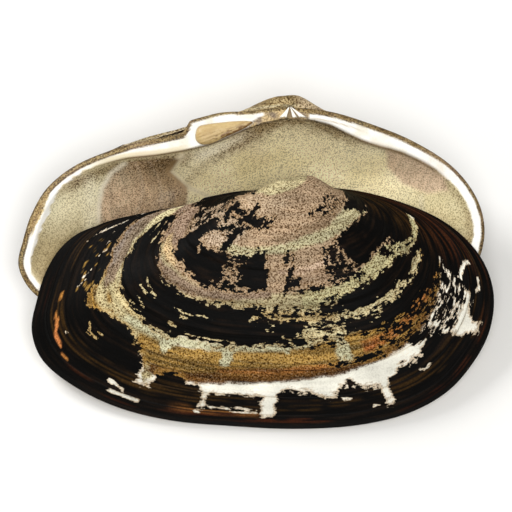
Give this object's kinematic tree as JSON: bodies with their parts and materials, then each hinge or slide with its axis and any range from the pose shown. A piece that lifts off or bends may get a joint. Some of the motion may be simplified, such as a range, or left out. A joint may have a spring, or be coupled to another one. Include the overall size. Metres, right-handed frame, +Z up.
{
  "type": "bivalve shell",
  "caption": "Empty bivalve shell in two valves: one lies hollow side up with its ligament on the hinge, the other lies across its lower half, domed side up.",
  "frame": {"origin": "centre of the whole object's bounding box, at the level of the surface it lies on", "axes": "+X along the shell's length, towards its front end; +Y from the lower margins towards the hinges, along the surface; +Z up"},
  "size_m": [0.113, 0.0768, 0.0299],
  "materials": {
    "shell_inside_up": "satin",
    "shell_outside_up": "satin",
    "ligament": "satin"
  },
  "bodies": {
    "root": {"left_valve": "shell_inside_up", "right_valve": "shell_outside_up", "ligament": "ligament"}
  },
  "joints": []
}
